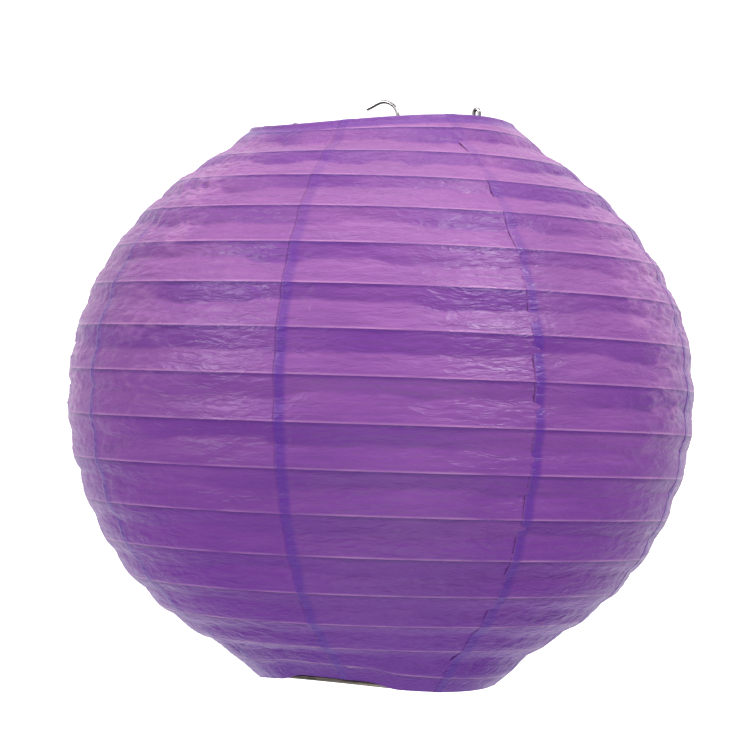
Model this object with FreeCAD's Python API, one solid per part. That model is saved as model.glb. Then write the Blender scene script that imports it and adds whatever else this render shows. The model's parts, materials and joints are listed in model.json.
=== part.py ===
import FreeCAD, Part
import math
import os

# A round paper lantern that folds flat: eight paper gores glued side by side on a spiral wire rib, a
# wire ring at each end, and a bent-wire expander that holds the rings apart and ends in the hook.
# Millimetres, +Z up. The shade is laid out about its own centre, with the expander in the XZ plane,
# and everything is then moved so that the origin is where the hook bears on what it hangs from.

Vector = FreeCAD.Vector
UP = Vector(0, 0, 1)

# Shade
belly_r = 120.0             # outside of the paper at the belly
half_height = 113.0         # half height of the ellipse that the paper follows
paper = 0.6                 # a stand-in for the glued paper, thick enough to be a wall
gore_count = 8
first_seam_deg = -21.4      # the first seam, counted from the expander's right leg
seam_gap = 0.1              # between two gores at the belly
paper_gap = 0.3             # between the paper and the rib or a ring

# End rings. The paper leaves the ellipse at a neck beside each ring and runs straight to it.
ring_wire = 2.0
top_ring_r = 51.0
top_neck_out = 12.3         # from the ring out to its neck
top_neck_drop = 8.5         # from the ring down to its neck
bottom_ring_r = 44.5
bottom_neck_out = 17.05
bottom_neck_rise = 11.0
ring_spring = 2.0           # how far the expander pushes a ring out of flat at its two seats
top_neck_z = half_height * math.sqrt(1 - ((top_ring_r + top_neck_out) / belly_r) ** 2)
top_ring_z = top_neck_z + top_neck_drop
bottom_neck_z = -half_height * math.sqrt(1 - ((bottom_ring_r + bottom_neck_out) / belly_r) ** 2)
bottom_ring_z = bottom_neck_z - bottom_neck_rise

# Spiral rib, in degrees of the shade's latitude
rib_wire = 0.8
rib_start_deg = -127.0
rib_pitch = 8.4             # latitude lost in one turn
rib_past_neck = 12.4        # millimetres of paper between the top neck and the start of the rib
top_neck_latitude = math.degrees(math.asin(top_neck_z / half_height))
bottom_neck_latitude = math.degrees(math.asin(bottom_neck_z / half_height))
neck_angle = math.radians(top_neck_latitude)
neck_degree = math.radians(math.hypot(belly_r * math.sin(neck_angle), half_height * math.cos(neck_angle)))
rib_top_latitude = top_neck_latitude + rib_past_neck / neck_degree
rib_bottom_latitude = bottom_neck_latitude - rib_past_neck / neck_degree
rib_half_turns = round((rib_top_latitude - rib_bottom_latitude) / (rib_pitch / 2))

# Expander
wire = 1.5
seat_gap = 0.15             # between the expander and a ring in its seat
curl_r = wire / 2 + 0.6     # tight bends, on the wire's centre line
seat_bend_r = wire / 2 + 0.1
seat_lip = wire * 2 / 3     # how far the top seats reach out past the ring's centre line
curl_top_z = top_ring_z + 7.0
seat_drop = wire * 2 + 0.2  # from a top seat down to where the leg starts
bottom_shoulder = ring_wire * 0.85      # how far the legs reach out past the bottom ring's centre line
bottom_nose = wire + 1.0    # how far the bottom bar drops inside the bottom ring
right_arm_z = top_ring_z - 2.0
left_arm_z = top_ring_z + 0.7
stem_bend_r = wire / 2 + 1.45
coil_gap = 0.2              # between the stem and the coil round it
coil_pitch = wire + 0.1
coil_half_turns = 4

# Hook
hook_r = 6.3
hook_top_z = top_ring_z + 12.2          # centre line
hook_turn_deg = 114.0
hook_tail = 5.2
hook_twist_deg = 15.0       # the hook's plane, turned from the expander's plane

hang_height = hook_top_z - wire / 2


def polar(radius, degrees, z):
    """A point at a radius and an angle about the shade's axis."""
    angle = math.radians(degrees)
    return Vector(radius * math.cos(angle), radius * math.sin(angle), z)


def tangent_arc(before, corner, after, radius=None):
    """Start, middle and end of the arc that rounds a corner. With no radius it is the largest that
    leaves half of each run to the next corner."""
    back = (before - corner).normalize()
    ahead = (after - corner).normalize()
    half_turn = (math.pi - back.getAngle(ahead)) / 2
    if radius is None:
        reach = min((before - corner).Length, (after - corner).Length) / 2
        radius = reach / math.tan(half_turn)
    reach = radius * math.tan(half_turn)
    inward = (back + ahead).normalize()
    centre = corner + inward * (radius / math.cos(half_turn))
    return corner + back * reach, centre - inward * radius, corner + ahead * reach


def route(points, radii):
    """Edges of an open line through points, with each inner corner rounded to its radius."""
    edges = []
    here = points[0]
    for before, corner, after, radius in zip(points, points[1:], points[2:], radii):
        start, middle, end = tangent_arc(before, corner, after, radius)
        if (start - here).Length > 1e-6:
            edges.append(Part.LineSegment(here, start).toShape())
        edges.append(Part.Arc(start, middle, end).toShape())
        here = end
    if (points[-1] - here).Length > 1e-6:
        edges.append(Part.LineSegment(here, points[-1]).toShape())
    return edges


def half_turns(stations):
    """Edges of a smooth spiral: one half circle from each station to the next, which lies across
    the axis from it. Every half circle leaves and arrives level, so they join without a kink."""
    edges = []
    for start, end in zip(stations, stations[1:]):
        across = end - start
        ahead = across.cross(UP).normalize()
        middle = (start + end) * 0.5 + ahead * (across.Length / 2)
        edges.append(Part.Arc(start, middle, end).toShape())
    return edges


def round_wire(edges, diameter):
    """A solid wire along edges."""
    path = Part.Wire(edges)
    first = edges[0]
    section = Part.Circle(first.valueAt(first.FirstParameter), first.tangentAt(first.FirstParameter), diameter / 2)
    return path.makePipeShell([Part.Wire(section.toShape())], True, False)


def ring(radius, z, spring):
    """A ring bent by two seats on the X axis: spring above its mean height there, and as far below
    it on the Y axis."""
    seat, side = Vector(radius, 0, z + spring), Vector(0, radius, z - spring)
    # Half the side of the polygon whose rounded corners make the ring.
    half_side = math.sqrt(2 * radius ** 2 + 2 * spring ** 2) - radius
    corners = []
    for quarter in range(4):
        x = radius if quarter in (0, 3) else -radius
        y = radius if quarter < 2 else -radius
        near_seat = Vector(x, math.copysign(half_side, y), seat.z)
        near_side = Vector(math.copysign(half_side, x), y, side.z)
        corners += [near_seat, near_side] if quarter % 2 == 0 else [near_side, near_seat]
    edges = []
    for index, corner in enumerate(corners):
        before, after = corners[index - 1], corners[(index + 1) % len(corners)]
        edges.append(Part.Arc(*tangent_arc(before, corner, after)).toShape())
    return round_wire(edges, ring_wire)


def ellipse_r(z, inset=0.0):
    """Radius of the shade's ellipse at a height, with both half axes smaller by inset."""
    return (belly_r - inset) * math.sqrt(1 - (z / (half_height - inset)) ** 2)


def hem_r(ring_r):
    """Outside of the paper where it goes over a ring."""
    return ring_r + ring_wire / 2 + paper_gap + paper


def hem_z(ring_z):
    """Height of the paper's edge over a ring."""
    return ring_z + math.copysign(ring_wire / 2, ring_z)


def meridian(latitude, inset):
    """Radius and height of a point inset from the shade's outside, at a latitude in degrees. Past a
    neck the paper runs straight to its hem, and latitude goes on at the ellipse's rate."""
    neck_z, neck = (top_neck_z, top_neck_latitude) if latitude > 0 else (bottom_neck_z, bottom_neck_latitude)
    if abs(latitude) <= abs(neck):
        angle = math.radians(latitude)
        out = Vector(half_height * math.cos(angle), 0, belly_r * math.sin(angle)).normalize()
        on = Vector(belly_r * math.cos(angle), 0, half_height * math.sin(angle))
    else:
        ring_r, ring_z = (top_ring_r, top_ring_z) if latitude > 0 else (bottom_ring_r, bottom_ring_z)
        foot = Vector(ellipse_r(neck_z), 0, neck_z)
        along = (Vector(hem_r(ring_r), 0, hem_z(ring_z)) - foot).normalize()
        angle = math.radians(neck)
        per_degree = math.radians(math.hypot(belly_r * math.sin(angle), half_height * math.cos(angle)))
        on = foot + along * (per_degree * abs(latitude - neck))
        out = Vector(abs(along.z), 0, math.copysign(abs(along.x), latitude))
    point = on - out * inset
    return point.x, point.z


def ellipse_arcs(inset):
    """The ellipse of one face of the paper, one arc from the belly up to the top neck and one from
    it down to the bottom neck, with the two necks."""
    across, upward = Vector(belly_r - inset, 0, 0), Vector(0, 0, half_height - inset)
    longer, shorter = (across, upward) if across.Length >= upward.Length else (upward, across)
    ellipse = Part.Ellipse(longer, shorter, Vector(0, 0, 0))
    belly = ellipse.parameter(Vector(belly_r - inset, 0, 0))
    necks = [Vector(ellipse_r(z, inset), 0, z) for z in (top_neck_z, bottom_neck_z)]
    arcs = []
    for neck in necks:
        first, last = sorted((belly, ellipse.parameter(neck)))
        if last - first > math.pi:
            first, last = last - 2 * math.pi, first
        arcs.append(Part.ArcOfEllipse(ellipse, first, last).toShape())
    return arcs, necks


def gore(start_deg):
    """One strip of paper, from hem to hem."""
    edges, hems = [], []
    for inset in (0, paper):
        arcs, (top, bottom) = ellipse_arcs(inset)
        hem_top = Vector(hem_r(top_ring_r) - inset, 0, hem_z(top_ring_z))
        hem_bottom = Vector(hem_r(bottom_ring_r) - inset, 0, hem_z(bottom_ring_z))
        edges += arcs
        edges += [Part.LineSegment(top, hem_top).toShape(), Part.LineSegment(bottom, hem_bottom).toShape()]
        hems.append((hem_top, hem_bottom))
    edges += [Part.LineSegment(outer, inner).toShape() for outer, inner in zip(*hems)]
    outline = Part.Wire(Part.__sortEdges__(edges))
    half_gap = math.degrees(seam_gap / belly_r) / 2
    strip = Part.Face(outline).revolve(Vector(0, 0, 0), UP, 360 / gore_count - 2 * half_gap)
    strip.rotate(Vector(0, 0, 0), UP, start_deg + half_gap)
    return strip


def spiral_rib():
    """The rib, laid just inside the paper, and a little further in on either side of a neck, where a
    half circle would otherwise cut the bend."""
    run_slope = math.atan2(top_neck_drop + ring_wire / 2, ellipse_r(top_neck_z) - hem_r(top_ring_r))
    bend = run_slope - math.atan2(half_height * math.cos(neck_angle), belly_r * math.sin(neck_angle))
    ease = 0.65 * neck_degree * rib_pitch / 2 * math.tan(bend / 2)
    stations = []
    for step in range(rib_half_turns + 1):
        latitude = rib_top_latitude - step * rib_pitch / 2
        from_neck = min(abs(latitude - top_neck_latitude), abs(latitude - bottom_neck_latitude))
        inset = paper + paper_gap + rib_wire / 2 + (ease if from_neck < rib_pitch / 2 else 0)
        radius, z = meridian(latitude, inset)
        stations.append(polar(radius, rib_start_deg + 180 * step, z))
    return round_wire(half_turns(stations), rib_wire)


def leg(side):
    """Corners of one leg from its curl to the bottom bar, and their radii. side is 1 or -1."""
    beside_ring = top_ring_r - ring_wire / 2 - seat_gap - wire / 2
    under_ring = top_ring_z + ring_spring - ring_wire / 2 - seat_gap - wire / 2
    curl_z = curl_top_z - wire / 2
    over_ring = bottom_ring_z - ring_spring + ring_wire / 2 + seat_gap + wire / 2
    inside_ring = bottom_ring_r - ring_wire / 2 - seat_gap - wire / 2
    corners = [
        (beside_ring - 2 * curl_r, curl_z, curl_r),
        (beside_ring, curl_z, curl_r),
        (beside_ring, under_ring, seat_bend_r),
        (top_ring_r + seat_lip, under_ring, seat_bend_r),
        (beside_ring - seat_gap, under_ring - seat_drop, curl_r),
        (bottom_ring_r + bottom_shoulder, over_ring, curl_r),
        (inside_ring, over_ring, seat_bend_r),
        (inside_ring, over_ring - bottom_nose, seat_bend_r),
    ]
    return [(Vector(side * x, 0, z), radius) for x, z, radius in corners]


def expander_wire():
    """The whole expander in one wire, from the hook's tip to the coil round the stem."""
    toward_stem = polar(1, hook_twist_deg, 0)
    stem = toward_stem * hook_r
    half_turn = math.radians(hook_turn_deg / 2)
    reach = hook_r * math.tan(half_turn)
    peak = stem + UP * (hook_top_z - hook_r + reach)
    fall = math.radians(hook_turn_deg - 90)
    tail = toward_stem * -math.cos(fall) - UP * math.sin(fall)
    arm_end_x = top_ring_r - ring_wire / 2 - seat_gap - wire / 2 - 2 * curl_r
    # The left arm meets the coil at a tangent, on the side of the stem away from +Y.
    coil_r = wire + coil_gap
    left_end = Vector(-arm_end_x, 0, left_arm_z)
    to_stem = stem + UP * left_arm_z - left_end
    heading = math.atan2(to_stem.y, to_stem.x) - math.asin(coil_r / to_stem.Length)
    coil_start_deg = math.degrees(heading) - 90
    stations = [
        stem + polar(coil_r, coil_start_deg + 180 * step, left_arm_z + coil_pitch * step / 2)
        for step in range(coil_half_turns + 1)
    ]
    bends = [(peak, hook_r), (stem + UP * right_arm_z, stem_bend_r), (Vector(arm_end_x, 0, right_arm_z), curl_r)]
    bends += leg(1) + leg(-1)[::-1] + [(left_end, curl_r)]
    points = [peak + tail * (reach + hook_tail)] + [point for point, _ in bends] + [stations[0]]
    edges = route(points, [radius for _, radius in bends])
    return round_wire(edges + half_turns(stations), wire)


def main():
    nodes = {
        "expander_wire": expander_wire(),
        "top_ring": ring(top_ring_r, top_ring_z, ring_spring),
        "bottom_ring": ring(bottom_ring_r, bottom_ring_z, -ring_spring),
        "spiral_rib": spiral_rib(),
    }
    for index in range(gore_count):
        nodes[f"paper_gore_{index + 1}"] = gore(first_seam_deg + index * 360 / gore_count)
    os.makedirs("parts", exist_ok=True)
    for name, shape in nodes.items():
        shape.translate(UP * -hang_height)
        shape.exportStep(f"parts/{name}.step")
        box = shape.BoundBox
        print(f"{name}: {shape.ShapeType}, valid {shape.isValid()}, {shape.Volume:.1f} mm3, "
              f"z {box.ZMin:.1f} to {box.ZMax:.1f}")


main()
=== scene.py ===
import json
import math

import bpy
from mathutils import Matrix, Vector


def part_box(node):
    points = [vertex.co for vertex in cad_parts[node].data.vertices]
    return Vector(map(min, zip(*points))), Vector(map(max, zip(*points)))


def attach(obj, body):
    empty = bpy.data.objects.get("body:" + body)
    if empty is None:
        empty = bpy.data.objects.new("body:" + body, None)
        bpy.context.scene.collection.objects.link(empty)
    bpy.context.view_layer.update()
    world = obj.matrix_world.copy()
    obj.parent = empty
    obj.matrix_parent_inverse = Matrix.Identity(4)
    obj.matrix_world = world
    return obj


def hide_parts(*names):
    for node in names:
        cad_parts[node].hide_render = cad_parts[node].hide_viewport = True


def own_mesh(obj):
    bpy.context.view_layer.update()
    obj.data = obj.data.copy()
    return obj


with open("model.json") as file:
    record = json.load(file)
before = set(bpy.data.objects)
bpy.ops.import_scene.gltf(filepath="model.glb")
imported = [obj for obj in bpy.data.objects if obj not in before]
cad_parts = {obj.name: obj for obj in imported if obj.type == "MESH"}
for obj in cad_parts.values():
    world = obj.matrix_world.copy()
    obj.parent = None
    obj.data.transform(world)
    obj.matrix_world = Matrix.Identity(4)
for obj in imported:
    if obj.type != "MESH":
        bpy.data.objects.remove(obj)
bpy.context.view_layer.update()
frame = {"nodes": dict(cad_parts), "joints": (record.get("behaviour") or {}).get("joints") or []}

# ---------------------------------------------------------------- sizes, from the frame, in metres
RING_WIRE = 0.002
TOP_LOW, TOP_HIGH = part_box("top_ring")
FOOT_LOW, FOOT_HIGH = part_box("bottom_ring")
TOP_RING_R = (TOP_HIGH.x - TOP_LOW.x - RING_WIRE) / 2
FOOT_RING_R = (FOOT_HIGH.x - FOOT_LOW.x - RING_WIRE) / 2
TOP_RING_Z = (TOP_LOW.z + TOP_HIGH.z) / 2
FOOT_RING_Z = (FOOT_LOW.z + FOOT_HIGH.z) / 2
RING_SPRING = (TOP_HIGH.z - TOP_LOW.z - RING_WIRE) / 2

GORES = sorted(name for name in frame["nodes"] if name.startswith("paper_gore_"))
BELLY_R = max(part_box(name)[1].x for name in GORES)
TOP_RING_UP = 0.1045             # top ring's mean height over the shade's centre
CENTRE_Z = TOP_RING_Z - TOP_RING_UP
FOOT_RING_DOWN = FOOT_RING_Z - CENTRE_Z
HALF_HEIGHT = 0.113
TOP_NECK = 0.096
FOOT_NECK = -0.097

FIRST_SEAM = -21.4               # degrees round the axis
LAP = 0.0045
PAPER = 0.00012
RIB_WIRE = 0.0008
RIB_START = -127.0
RIB_TOP = 64.2                   # degrees of latitude
RIB_END = -66.0
RIB_PITCH = 8.4
PLEAT = 0.00155                  # depth of the fold between two turns of rib

TOP_WRAP = 0.00145               # radius of the paper round the top ring
FOOT_WRAP = 0.00034              # radius of the turned-in bottom hem
FOOT_HEM_OUT = 0.002             # outside of the bottom hem, past the ring's centre line
TOP_HEM_DROP = 0.003
FOOT_HEM_RISE = 0.003
BILLOW = 0.0022                  # how far the paper stands out of its ellipse at the belly
CALM_SIDE = -48.0                # direction of the side with the fewest crumples; the other is opposite
HEM_SLIP = 0.0021                # how far the bottom hem has ridden up in front
WRINKLE_HEIGHT = 0.0006
CREASE_HEIGHT = 0.00042
SURFACE_SINK = 0.00035           # taken off, so that the wrinkles lie about the smooth surface
LAP_GAP = 0.00002                # glue between the two layers of a lap
LAP_TUCK = 0.00035               # how far the lower layer of a lap is pressed in
RIB_GAP = 0.0001
RIB_FOOT_INSET = 0.001           # the rib's further inset near the bottom hem
RIB_FOOT_BAND = (-4, 1)          # degrees about the bottom neck over which that inset begins
SLIP_BEGINS = (258, 274)         # degrees round the axis where the slipped hem starts to rise
SLIP_ENDS = (306, 322)
SLIP_BAND = 3                    # degrees of latitude over which the slip fades
BILLOW_BEGINS = (-62, -34)       # degrees of latitude
BILLOW_ENDS = 10
SADDLE_BAND = 9                  # degrees over which a ring's saddle fades into the shade
HEM_BAND = 2                     # degrees beside a hem where the paper is flat
LAP_SLOPE = (0.95, 1.5)          # where the upper layer comes down, in laps
LAP_EDGE = 0.001                 # width of the thinned free edge of a lap
CREASE_MIDDLE = 0.28             # the highest the fold lies between two turns, as a share
CREASE_JUMP = 0.15
CREASE_DRIFT = 0.16
CREASE_WIDTH = 0.05
FOLD_ROUNDING = 0.04
PLEAT_LEAST = 0.5                # how deep a pleat is at least, as a share of PLEAT
PLEAT_SPREAD = 0.9
PAPER_COLUMNS = 110              # points across a gore
PAPER_ROWS = 440                 # points down a gore
RIB_STEPS = 1500
RIB_SIDES = 8


# ---------------------------------------------------------------- writing node trees
class Signal:
    """One output of a node. Python's operators on it add Math nodes."""

    def __init__(self, graph, socket):
        self.graph = graph
        self.socket = socket

    def math(self, operation, *terms):
        return self.graph.value("ShaderNodeMath", {"operation": operation}, dict(enumerate(terms)))

    def __add__(self, other):
        return self.math("ADD", self, other)

    def __sub__(self, other):
        return self.math("SUBTRACT", self, other)

    def __rsub__(self, other):
        return self.math("SUBTRACT", other, self)

    def __mul__(self, other):
        return self.math("MULTIPLY", self, other)

    def __truediv__(self, other):
        return self.math("DIVIDE", self, other)

    def __pow__(self, other):
        return self.math("POWER", self, other)

    __radd__ = __add__
    __rmul__ = __mul__

    def sine(self):
        return self.math("SINE", self)

    def cosine(self):
        return self.math("COSINE", self)

    def floor(self):
        return self.math("FLOOR", self)

    def size(self):
        return self.math("ABSOLUTE", self)

    def clip(self, low, high):
        return self.math("MINIMUM", self.math("MAXIMUM", self, low), high)

    def rise(self, low, high):
        """0 below low, 1 above high and smooth between."""
        settings = {"interpolation_type": "SMOOTHSTEP"}
        return self.graph.value("ShaderNodeMapRange", settings, {0: self, 1: low, 2: high, 3: 0.0, 4: 1.0})

    def ridge(self, power):
        """From noise about one half, thin lines of 1 where it crosses one half."""
        return (1 - (self * 2 - 1).size()) ** power


class Graph:
    """A node tree being written, of a shape or of a finish."""

    def __init__(self, tree):
        self.tree = tree

    def node(self, kind, settings=None, sockets=None):
        """A node, with its settings made first and then its sockets given values or links."""
        made = self.tree.nodes.new(kind)
        for name, setting in (settings or {}).items():
            if name == "stops":
                ramp = made.color_ramp
                for index, (place, colour) in enumerate(setting):
                    stop = ramp.elements[index] if index < 2 else ramp.elements.new(place)
                    stop.position = place
                    stop.color = colour
            else:
                setattr(made, name, setting)
        for key, term in (sockets or {}).items():
            if isinstance(term, Signal):
                self.tree.links.new(term.socket, made.inputs[key])
            else:
                made.inputs[key].default_value = term
        return made

    def value(self, kind, settings=None, sockets=None, output=0):
        return Signal(self, self.node(kind, settings, sockets).outputs[output])

    def vector(self, x, y, z):
        return self.value("ShaderNodeCombineXYZ", None, {0: x, 1: y, 2: z})

    def parts(self, vector):
        made = self.node("ShaderNodeSeparateXYZ", None, {0: vector})
        return [Signal(self, socket) for socket in made.outputs]

    def noise(self, vector, scale=1.0, detail=2.0, roughness=0.5, distortion=0.0):
        sockets = {
            "Vector": vector, "Scale": scale, "Detail": detail,
            "Roughness": roughness, "Distortion": distortion}
        return self.value("ShaderNodeTexNoise", None, sockets)

    def blend(self, share, first, second):
        """Two colours mixed, by a share that is clipped to 0 and 1."""
        settings = {"data_type": "RGBA", "blend_type": "MIX"}
        return self.value("ShaderNodeMix", settings, {0: share, 6: first, 7: second}, 2)

    def attribute(self, name):
        return self.value("ShaderNodeAttribute", {"attribute_name": name}, None, "Fac")


def shape_tree(name, sockets):
    """A Geometry Nodes tree with named inputs, each {name: (kind, value)}. Returns its graph and a
    Signal for each input."""
    tree = bpy.data.node_groups.new(name, "GeometryNodeTree")
    tree.interface.new_socket(name="Geometry", in_out="OUTPUT", socket_type="NodeSocketGeometry")
    for label, (kind, start) in sockets.items():
        item = tree.interface.new_socket(name=label, in_out="INPUT", socket_type=kind)
        if start is not None:
            item.default_value = start
    graph = Graph(tree)
    entry = graph.node("NodeGroupInput")
    given = {label: Signal(graph, entry.outputs[label]) for label in sockets}
    return graph, given


def finish_shape(graph, geometry, material):
    """Ends a tree as every tree here ends."""
    painted = graph.value("GeometryNodeSetMaterial", None, {"Geometry": geometry, "Material": material})
    real = graph.value("GeometryNodeRealizeInstances", None, {"Geometry": painted})
    graph.node("NodeGroupOutput", None, {"Geometry": real})


def grow(name, tree, inputs, finishing=()):
    """A plain mesh object made by a tree with these inputs, and by the modifiers in finishing."""
    seed = bpy.data.objects.new(name + "_seed", bpy.data.meshes.new(name + "_seed"))
    bpy.context.scene.collection.objects.link(seed)
    nodes = seed.modifiers.new("shape", "NODES")
    nodes.node_group = tree
    for item in tree.interface.items_tree:
        if item.in_out == "INPUT" and item.name in inputs:
            nodes[item.identifier] = inputs[item.name]
    for kind, settings in finishing:
        modifier = seed.modifiers.new(kind.lower(), kind)
        for key, setting in settings.items():
            setattr(modifier, key, setting)
    seen = seed.evaluated_get(bpy.context.evaluated_depsgraph_get())
    mesh = bpy.data.meshes.new_from_object(seen)
    mesh.name = name
    bpy.data.objects.remove(seed)
    made = bpy.data.objects.new(name, mesh)
    bpy.context.scene.collection.objects.link(made)
    mesh.shade_smooth()
    return made


# ---------------------------------------------------------------- the shade's surface
def neck(height, ring_out, ring_up):
    """Latitude of a neck, metres of meridian per degree there, and the straight run from the neck to the
    hem:
    its direction and its length."""
    latitude = math.degrees(math.asin(height / HALF_HEIGHT))
    angle = math.radians(latitude)
    per_degree = math.radians(math.hypot(BELLY_R * math.sin(angle), HALF_HEIGHT * math.cos(angle)))
    start = Vector((BELLY_R * math.cos(angle), height))
    run = Vector((ring_out, ring_up)) - start
    return latitude, per_degree, run.normalized(), run.length


TOP = neck(TOP_NECK, TOP_RING_R + TOP_WRAP, TOP_RING_UP)
FOOT = neck(FOOT_NECK, FOOT_RING_R + FOOT_HEM_OUT, FOOT_RING_DOWN - RING_WIRE / 2)
TOP_HEM = TOP[0] + TOP[3] / TOP[1]
FOOT_HEM = FOOT[0] - FOOT[3] / FOOT[1]
TOP_END = TOP_HEM + (math.pi * TOP_WRAP + TOP_HEM_DROP) / TOP[1]
FOOT_END = FOOT_HEM - (math.pi * FOOT_WRAP + FOOT_HEM_RISE) / FOOT[1]


def end_run(past, end, wrap, side):
    """How a meridian moves past a neck: along the straight run, round the hem's fold and back
    inside. past is in degrees beyond the neck, and side is 1 at the top and -1 at the foot."""
    _, per_degree, run, length = end
    along = (past * per_degree).clip(0, length)
    turned = (past * per_degree - length).clip(0, math.pi * wrap)
    inside = (past * per_degree - (length + math.pi * wrap)).clip(0, 1)
    angle = turned / wrap
    out = along * run.x + (angle.cosine() - 1) * wrap
    up = along * run.y + (angle.sine() * wrap - inside) * side
    return out, up


def shade_point(graph, around, latitude, raised):
    """The place of a point of the shade at an angle in degrees, a latitude and a height over the
    smooth surface. The two rings pull each end into a saddle."""
    low, high = FOOT[0], TOP[0]
    on = latitude.clip(low, high) * math.radians(1)
    top_out, top_up = end_run(latitude - high, TOP, TOP_WRAP, 1)
    foot_out, foot_up = end_run(low - latitude, FOOT, FOOT_WRAP, -1)
    flat, steep = on.cosine(), on.sine()
    raised = raised + latitude.rise(*BILLOW_BEGINS) * (1 - latitude.rise(BILLOW_ENDS, high)) * BILLOW
    out = flat * (BELLY_R + raised) + top_out + foot_out
    up = steep * (HALF_HEIGHT + raised) + top_up + foot_up
    angle = around * math.radians(1)
    saddle = latitude.rise(high - SADDLE_BAND, TOP_HEM) + latitude.rise(FOOT_HEM, low + SADDLE_BAND) - 1
    slip = around.rise(*SLIP_BEGINS) * (1 - around.rise(*SLIP_ENDS))
    slip = slip * (1 - latitude.rise(FOOT_HEM, low + SLIP_BAND))
    up = up + (angle * 2).cosine() * saddle * RING_SPRING + slip * HEM_SLIP
    return graph.vector(angle.cosine() * out, angle.sine() * out, up + CENTRE_Z)


def paper_tree():
    """One gore: a grid whose rows follow the rib, raised and folded as old paper is."""
    graph, given = shape_tree("paper_gore", {
        "First Edge": ("NodeSocketFloat", 0.0),
        "Lap": ("NodeSocketFloat", LAP),
        "Pleat Depth": ("NodeSocketFloat", PLEAT),
        "Crumple": ("NodeSocketFloat", 1.0),
        "Columns": ("NodeSocketInt", PAPER_COLUMNS),
        "Rows": ("NodeSocketInt", PAPER_ROWS),
        "Paper": ("NodeSocketMaterial", None),
    })
    grid = graph.value("GeometryNodeMeshGrid", None, {
        "Size X": 1.0, "Size Y": 1.0, "Vertices X": given["Columns"], "Vertices Y": given["Rows"]})
    across, along, _ = graph.parts(graph.value("GeometryNodeInputPosition"))
    across = across + 0.5
    row = (along + 0.5) * (TOP_END - FOOT_END) + FOOT_END

    # Width grows by the lap, which covers more degrees where the shade is narrow.
    radius = (row.clip(FOOT[0], TOP[0]) * math.radians(1)).cosine() * BELLY_R
    width = given["Lap"] / radius * math.degrees(1) + 360 / len(GORES)
    around = given["First Edge"] + width * across
    free = row.rise(FOOT_HEM, FOOT_HEM + SADDLE_BAND) * (1 - row.rise(TOP_HEM - SADDLE_BAND, TOP_HEM))
    latitude = row - free * (across - 0.5) * (RIB_PITCH / len(GORES))
    turns = (RIB_TOP - latitude) / RIB_PITCH - (around - RIB_START) / 360
    band = turns.floor()
    place = turns - band

    # Two coordinates on the paper: round the belly and down it, both in metres.
    round_belly = around * (math.radians(1) * BELLY_R)
    down = turns * (RIB_PITCH * TOP[1])
    angle = around * math.radians(1)
    circle = (angle.cosine(), angle.sine())

    # The crease between two turns wanders, and now and then it jumps.
    jump = graph.noise(graph.vector(circle[0] * 2.3, circle[1] * 2.3, band * 7.31), 1.0, 1.0)
    drift = graph.noise(graph.vector(circle[0] * 6.0, circle[1] * 6.0, band * 3.17 + 40), 1.0, 2.0)
    crease = jump.rise(0.44, 0.56) * CREASE_JUMP + drift * CREASE_DRIFT + CREASE_MIDDLE
    upper, lower = place / crease, (1 - place) / (1 - crease)
    fold = graph.value("ShaderNodeMath", {"operation": "SMOOTH_MIN"}, {0: upper, 1: lower, 2: FOLD_ROUNDING})
    deep = graph.noise(graph.vector(circle[0] * 4.0, circle[1] * 4.0, band * 5.7 + 90), 1.0, 2.0)
    ends = latitude.rise(FOOT_HEM + 1, FOOT_HEM + 7) * (1 - latitude.rise(TOP_HEM - 7, TOP_HEM - 1))
    lower_facet = place.rise(crease - CREASE_WIDTH, crease + CREASE_WIDTH)
    pleat = fold * (deep * PLEAT_SPREAD + PLEAT_LEAST) * ends * given["Pleat Depth"]

    # Fine wrinkles run along the bands; crumples run across them in patches.
    long_way = graph.vector(circle[0] * (BELLY_R / 0.016), circle[1] * (BELLY_R / 0.016), down / 0.0034)
    wrinkles = graph.noise(long_way, 1.0, 3.0, 0.55).ridge(2.0) * WRINKLE_HEIGHT
    slant = graph.vector(round_belly * 62 + down * 60, down * 170 - round_belly * 34, band * 0.13)
    other_slant = graph.vector(round_belly * 58 - down * 70 + 31, down * 150 + round_belly * 36, band * 0.21)
    spread = graph.noise(graph.vector(circle[0] * 2.1 + 3, circle[1] * 2.1, down * 17), 1.0, 2.0)
    patch = spread.rise(0.36, 0.66)
    one_way = graph.noise(slant, 1.0, 2.0, 0.5, 0.5).ridge(4.0)
    creases = one_way + graph.noise(other_slant, 1.0, 2.0, 0.5, 0.4).ridge(5.0)
    sides = 1 - (angle - math.radians(CALM_SIDE)).cosine() ** 2
    sides = sides.rise(0.08, 0.6) * (latitude.rise(-45, 15) * 0.75 + 0.25)
    crumples = creases * (patch * 0.8 + 0.2) * sides * given["Crumple"]
    held = (fold * 3).clip(0.15, 1)
    relief = wrinkles + crumples * CREASE_HEIGHT - SURFACE_SINK
    texture = relief * held * (ends * 0.8 + 0.2) * latitude.rise(FOOT_HEM, FOOT_HEM + HEM_BAND)
    texture = texture * (1 - latitude.rise(TOP_HEM - HEM_BAND, TOP_HEM))

    from_edge = width * across * math.radians(1) * radius
    over = (1 - from_edge.rise(LAP * LAP_SLOPE[0], LAP * LAP_SLOPE[1])) * (PAPER + LAP_GAP)
    over = over * (from_edge.rise(0, LAP_EDGE) * 0.6 + 0.4)
    to_far_edge = width * (1 - across) * math.radians(1) * radius
    tucked = (1 - to_far_edge.rise(0, LAP)) * LAP_TUCK
    raised = over + texture - pleat - tucked

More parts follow.
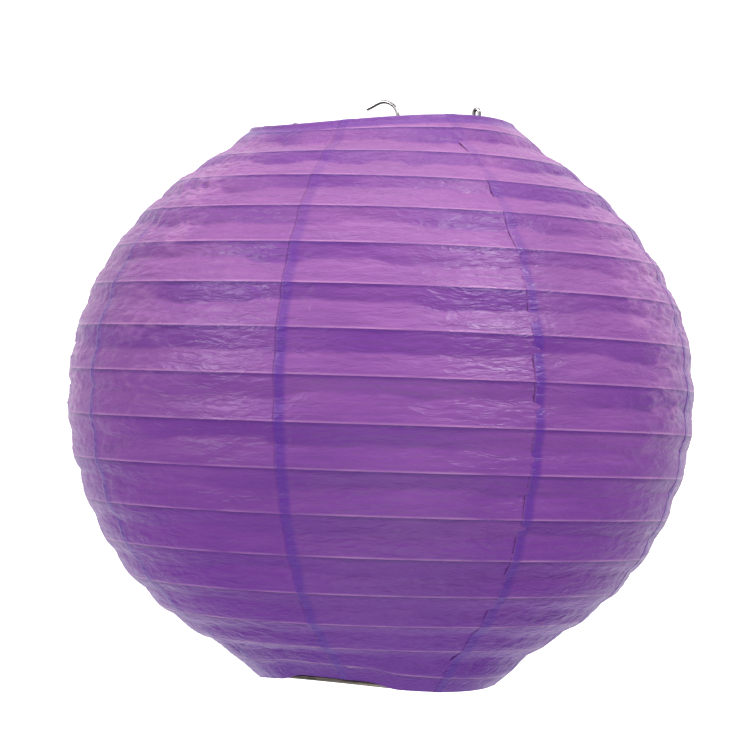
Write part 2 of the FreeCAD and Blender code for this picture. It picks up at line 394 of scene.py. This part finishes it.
    stored = grid
    kept_fields = {
        "turns": turns, "from_edge": from_edge, "latitude": latitude, "around": round_belly,
        "lower_facet": lower_facet, "crumple": crumples}
    point_number = {"data_type": "FLOAT", "domain": "POINT"}
    for name, field in kept_fields.items():
        stored = graph.value("GeometryNodeStoreNamedAttribute", point_number, {
            "Geometry": stored, "Name": name, "Value": field})
    surface = graph.value("GeometryNodeSetPosition", None, {
        "Geometry": stored, "Position": shade_point(graph, around, latitude, raised)})
    finish_shape(graph, surface, given["Paper"])
    return graph.tree


def rib_tree():
    """A round wire along the rib, just inside the paper."""
    graph, given = shape_tree("rib_wire", {
        "Turns": ("NodeSocketFloat", (RIB_TOP - RIB_END) / RIB_PITCH),
        "Wire": ("NodeSocketFloat", RIB_WIRE),
        "Steps": ("NodeSocketInt", RIB_STEPS),
        "Steel": ("NodeSocketMaterial", None),
    })
    line = graph.value("GeometryNodeMeshLine", None, {"Count": given["Steps"], "Offset": (0.0, 0.0, 1.0)})
    step = graph.value("GeometryNodeInputIndex")
    turn = step / (given["Steps"] - 1) * given["Turns"]
    around = turn * 360 + RIB_START
    latitude = RIB_TOP - turn * RIB_PITCH
    foot_inset = (1 - latitude.rise(FOOT[0] + RIB_FOOT_BAND[0], FOOT[0] + RIB_FOOT_BAND[1])) * RIB_FOOT_INSET
    inset = given["Wire"] * -0.5 - (PAPER + RIB_GAP) - foot_inset
    place = shade_point(graph, around, latitude, inset)
    path = graph.value("GeometryNodeMeshToCurve", None, {
        "Mesh": graph.value("GeometryNodeSetPosition", None, {"Geometry": line, "Position": place})})
    section = graph.value("GeometryNodeCurvePrimitiveCircle", None, {
        "Resolution": RIB_SIDES, "Radius": given["Wire"] * 0.5})
    tube = graph.value("GeometryNodeCurveToMesh", None, {
        "Curve": path, "Profile Curve": section, "Fill Caps": True})
    finish_shape(graph, tube, given["Steel"])
    return graph.tree


# ---------------------------------------------------------------- finishes
def new_material(name):
    material = bpy.data.materials.new(name)
    material.use_nodes = True
    material.node_tree.nodes.clear()
    return material, Graph(material.node_tree)


DEEP, DYED, PALE = (0.09, 0.014, 0.145, 1), (0.15, 0.03, 0.198, 1), (0.225, 0.068, 0.25, 1)
# Painted shade for the foot and painted light for the top of the shade.
FOOT_PAINTED_SHADE, TOP_PAINTED_LIGHT = (0.052, 0.001, 0.165, 1), (0.26, 0.12, 0.25, 1)
# Painted shade for the upper facets of the folds.
SHADED = (0.075, 0.012, 0.165, 1)
# Painted shadow under each rib.
UNDER_RIB_SHADOW = (0.05, 0.01, 0.115, 1)
# Pale colour for crests and crumples, partly wear and partly painted highlight.
WORN_AND_SHEEN = (0.5, 0.26, 0.44, 1)
LAPPED = (0.05, 0.01, 0.18, 1)
DYE_STOPS = (0.34, 0.5, 0.68)    # where the three dyes lie on the shade of the paper
FOOT_SHADE_SHARE, TOP_LIGHT_SHARE = 0.78, 0.45
PAINTED_LIGHT_RANGE = (-75, 60)           # degrees of latitude from the painted shade at the foot to the painted light at the top
# how much of that pale colour the crumples get: partly wear, partly painted sheen
CREASE_WEAR_AND_SHEEN = 0.18
HEM_SHARE = 0.5
LAP_SHARE, LAP_FADE = 0.64, 0.42
LAP_FADE_RANGE = (5, 45)         # degrees of latitude over which the laps' colour fades
PAPER_GLOSS = 0.2
EXPANDER_STEEL = (0.33, 0.315, 0.31)
RING_STEEL = (0.13, 0.112, 0.1)
RIB_STEEL = (0.45, 0.44, 0.43)


def purple_paper():
    """Dyed tissue paper with a waxy face: darker where it is glued double, with painted shade at the foot,
    on the upper facets and under each rib, painted light at the top, and pale wear and painted highlight on
    the crests and creases.
    """
    material, graph = new_material("purple_paper")
    turns = graph.attribute("turns")
    from_edge = graph.attribute("from_edge")
    latitude = graph.attribute("latitude")
    around = graph.attribute("around")
    lower_facet = graph.attribute("lower_facet")
    crumple = graph.attribute("crumple")
    place = turns - turns.floor()
    down = turns * (RIB_PITCH * TOP[1])

    broad = graph.noise(graph.value("ShaderNodeTexCoord", None, None, "Object"), 16.0, 3.0, 0.55)
    streaks = graph.noise(graph.vector(around * 34, down * 330, 2.0), 1.0, 3.0, 0.6, 0.3)
    fibres = graph.noise(graph.vector(around * 260, down * 900, 0.0), 1.0, 3.0, 0.6)
    shade = broad * 0.4 + streaks * 0.45 + fibres * 0.15
    dyes = tuple(zip(DYE_STOPS, (DEEP, DYED, PALE)))
    colour = graph.value("ShaderNodeValToRGB", {"stops": dyes}, {0: shade})
    # Painted light and shade: the paper is darkened towards the foot and lightened towards the top.
    height = latitude.rise(*PAINTED_LIGHT_RANGE)
    shaded_at_foot = graph.blend(FOOT_SHADE_SHARE, colour, FOOT_PAINTED_SHADE)
    colour = graph.blend(height, shaded_at_foot, graph.blend(TOP_LIGHT_SHARE, colour, TOP_PAINTED_LIGHT))

    # Painted shade: the upper side of each fold faces down, and is darkened in patches.
    facet_shade_patches = graph.noise(graph.vector(around * 9, turns.floor() * 3.3, 4.0), 1.0, 2.0).rise(0.36, 0.62)
    colour = graph.blend((1 - lower_facet) * (facet_shade_patches * 0.5 + 0.12), colour, SHADED)
    edge = graph.noise(graph.vector(around * 40, down * 10, 8.0), 1.0, 2.0)
    # Painted shadow: a dark line just under each rib.
    under_rib_shadow = (1 - place.rise(0.01, edge * 0.16 + 0.04)) * (edge * 0.7 + 0.4)
    colour = graph.blend(under_rib_shadow, colour, UNDER_RIB_SHADOW)
    # Partly wear and partly painted highlight: a pale line on the crest just above each rib.
    crest_wear_and_highlight = place.rise(0.94, 0.99) * (edge * 0.8 - 0.16)
    colour = graph.blend(crest_wear_and_highlight, colour, WORN_AND_SHEEN)
    # Partly wear and partly painted sheen: pale colour along the crumples.
    colour = graph.blend(crumple.rise(0.5, 1.6) * CREASE_WEAR_AND_SHEEN, colour, WORN_AND_SHEEN)
    hem = latitude.rise(TOP_HEM - 1.9, TOP_HEM - 1.6) * HEM_SHARE
    colour = graph.blend(hem, colour, LAPPED)
    wobble = graph.noise(graph.vector(down * 60, around * 60, 0.0), 1.0, 2.0) * 0.0016
    double = (1 - (from_edge + wobble).rise(LAP - 0.0007, LAP + 0.0018)) * from_edge.rise(-0.0002, 0.0012)
    double = double * (LAP_SHARE - latitude.rise(*LAP_FADE_RANGE) * LAP_FADE)
    colour = graph.blend(double, colour, LAPPED)

    fine = graph.noise(graph.vector(around * 330, down * 520, 5.0), 1.0, 4.0, 0.65)
    slanting = graph.vector(around * 70 + down * 40, down * 300, 9.0)
    crinkle = graph.noise(slanting, 1.0, 3.0, 0.6, 0.6).ridge(3.0)
    bumps = fine * 0.3 + crinkle
    bump = graph.value("ShaderNodeBump", None, {"Strength": 0.7, "Distance": 0.0004, "Height": bumps})
    roughness = streaks * 0.3 + 0.27
    surface = graph.value("ShaderNodeBsdfPrincipled", None, {
        "Base Color": colour, "Roughness": roughness, "Normal": bump, "Specular IOR Level": PAPER_GLOSS})
    graph.node("ShaderNodeOutputMaterial", None, {"Surface": surface})
    return material


def drawn_steel(name, colour, dull):
    """Drawn wire: fine lines, dark smears of drawing soap and small bright rubs."""
    material, graph = new_material(name)
    place = graph.value("ShaderNodeTexCoord", None, None, "Object")
    smear = graph.noise(place, 160.0, 3.0, 0.6)
    grain = graph.noise(place, 1400.0, 2.0, 0.5)
    dark = tuple(0.45 * part for part in colour) + (1,)
    bright = tuple(min(1.0, 1.3 * part) for part in colour) + (1,)
    shade = smear * 0.7 + grain * 0.3
    stops = ((0.34, dark), (0.5, tuple(colour) + (1,)), (0.68, bright))
    mixed = graph.value("ShaderNodeValToRGB", {"stops": stops}, {0: shade})
    bump = graph.value("ShaderNodeBump", None, {"Strength": 0.3, "Distance": 0.00003, "Height": grain})
    surface = graph.value("ShaderNodeBsdfPrincipled", None, {
        "Base Color": mixed, "Metallic": 1.0, "Roughness": smear * 0.25 + dull, "Normal": bump})
    graph.node("ShaderNodeOutputMaterial", None, {"Surface": surface})
    return material


def backdrop_white(name, glow):
    """Matt white card, with a breath of unevenness. The wall glows a little, as if lit from the side."""
    material, graph = new_material(name)
    cloud = graph.noise(graph.value("ShaderNodeTexCoord", None, None, "Object"), 1.5, 2.0)
    colour = graph.blend(cloud, (0.93, 0.93, 0.93, 1), (0.95, 0.95, 0.95, 1))
    surface = graph.value("ShaderNodeBsdfPrincipled", None, {
        "Base Color": colour, "Roughness": 0.9, "Emission Color": (1, 1, 1, 1), "Emission Strength": glow})
    graph.node("ShaderNodeOutputMaterial", None, {"Surface": surface})
    return material


# ---------------------------------------------------------------- camera, light and stage
AZIMUTH = math.radians(42.0)
DISTANCE = 1.15
EYE_UP = -0.0067                 # eye level over the shade's centre
AIM_RIGHT = -0.0025
AIM_UP = 0.0094
ROLL = math.radians(0.5)
FOCAL = 140.8
SENSOR = 36.0
DROP = 1.7                       # from the shade's centre down to the floor
WALL = 2.9                       # from the shade to the wall behind it
BEND = 0.8                       # radius of the curve from the floor to the wall
REACH = 3.5                      # of the floor, to each side and towards the viewer
WALL_TOP = 5.0
BEND_STEPS = 12
WALL_GLOW = 0.85
WORLD_LIGHT = 0.46

# Lights: metres to the right, back towards the viewer and up from the shade's centre, width, watts.
LIGHTS = {
    "key": (0.8, 0.7, 1.05, 0.35, 29),
    "fill": (-1.2, 0.7, 0.7, 0.6, 23),
    "top": (0.0, -0.1, 1.3, 0.8, 6),
    "bounce": (0.1, 0.9, -1.1, 1.6, 17),
}


def add_camera():
    data = bpy.data.cameras.new("camera")
    data.lens = FOCAL
    data.sensor_width = SENSOR
    camera = bpy.data.objects.new("camera", data)
    bpy.context.scene.collection.objects.link(camera)
    right = Vector((math.cos(AZIMUTH), math.sin(AZIMUTH), 0))
    back = Vector((math.sin(AZIMUTH), -math.cos(AZIMUTH), 0))
    centre = Vector((0, 0, CENTRE_Z))
    place = centre + back * DISTANCE + Vector((0, 0, EYE_UP))
    aim = centre + right * AIM_RIGHT + Vector((0, 0, AIM_UP))
    turn = (aim - place).to_track_quat("-Z", "Y").to_matrix().to_4x4()
    camera.matrix_world = Matrix.Translation(place) @ turn @ Matrix.Rotation(ROLL, 4, "Z")
    bpy.context.scene.camera = camera
    return right, back


def add_light(name, place, aim, size, power):
    data = bpy.data.lights.new(name, "AREA")
    data.shape = "DISK"
    data.size = size
    data.energy = power
    light = bpy.data.objects.new(name, data)
    bpy.context.scene.collection.objects.link(light)
    turn = (aim - place).to_track_quat("-Z", "Y").to_matrix().to_4x4()
    light.matrix_world = Matrix.Translation(place) @ turn


def add_stage(right, back):
    """A white sweep: floor, curve and wall in one sheet, square to the camera. The lantern hangs
    well above the floor."""
    floor_z = CENTRE_Z - DROP
    profile = [(-REACH, 0.0), (WALL - BEND, 0.0)]
    for step in range(1, BEND_STEPS + 1):
        angle = math.radians(90 * step / BEND_STEPS)
        profile.append((WALL - BEND + BEND * math.sin(angle), BEND - BEND * math.cos(angle)))
    profile.append((WALL, WALL_TOP))
    corners = [right * side - back * away + Vector((0, 0, floor_z + up))
               for away, up in profile for side in (-REACH, REACH)]
    faces = [(2 * k, 2 * k + 1, 2 * k + 3, 2 * k + 2) for k in range(len(profile) - 1)]
    mesh = bpy.data.meshes.new("sweep")
    mesh.from_pydata(corners, [], faces)
    mesh.shade_smooth()
    mesh.materials.append(backdrop_white("floor_white", 0.0))
    mesh.materials.append(backdrop_white("wall_white", WALL_GLOW))
    for face in mesh.polygons[1:]:
        face.material_index = 1
    sweep = bpy.data.objects.new("sweep", mesh)
    bpy.context.scene.collection.objects.link(sweep)


def add_studio(right, back):
    centre = Vector((0, 0, CENTRE_Z))
    for name, (sideways, nearer, up, size, power) in LIGHTS.items():
        place = centre + right * sideways + back * nearer + Vector((0, 0, up))
        add_light(name, place, centre, size, power)
    world = bpy.data.worlds.new("studio")
    world.use_nodes = True
    world.node_tree.nodes["Background"].inputs["Color"].default_value = (1, 1, 1, 1)
    world.node_tree.nodes["Background"].inputs["Strength"].default_value = WORLD_LIGHT
    scene = bpy.context.scene
    scene.world = world
    scene.view_settings.view_transform = "Standard"
    add_stage(right, back)


# ---------------------------------------------------------------- making
def fold_flat(piece):
    """The piece rides with the shell body and gets a mesh of its own."""
    fold = next(joint for joint in frame["joints"] if joint["name"] == "fold")
    height = TOP_RING_Z - FOOT_RING_Z
    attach(piece, "shell")
    1 - fold["range_m"][1] / height
    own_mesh(piece)


def make_shade():
    tree = paper_tree()
    paper = purple_paper()
    thick = [("SOLIDIFY", {"thickness": PAPER, "offset": -1.0})]
    for index, node in enumerate(GORES):
        start = FIRST_SEAM + index * 360 / len(GORES)
        sheet = grow(node + "_sheet", tree, {"First Edge": start, "Paper": paper}, thick)
        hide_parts(node)
        fold_flat(sheet)


def make_wires():
    steel = {
        "expander_wire": drawn_steel("expander_steel", EXPANDER_STEEL, 0.16),
        "top_ring": drawn_steel("ring_steel", RING_STEEL, 0.36),
    }
    steel["bottom_ring"] = steel["top_ring"]
    for node, material in steel.items():
        mesh = frame["nodes"][node].data
        mesh.materials.clear()
        mesh.materials.append(material)
    rib = grow("spiral_rib_wire", rib_tree(), {"Steel": drawn_steel("rib_steel", RIB_STEEL, 0.3)})
    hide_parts("spiral_rib")
    fold_flat(rib)


CAMERA_RIGHT, CAMERA_BACK = add_camera()
make_shade()
make_wires()
add_studio(CAMERA_RIGHT, CAMERA_BACK)
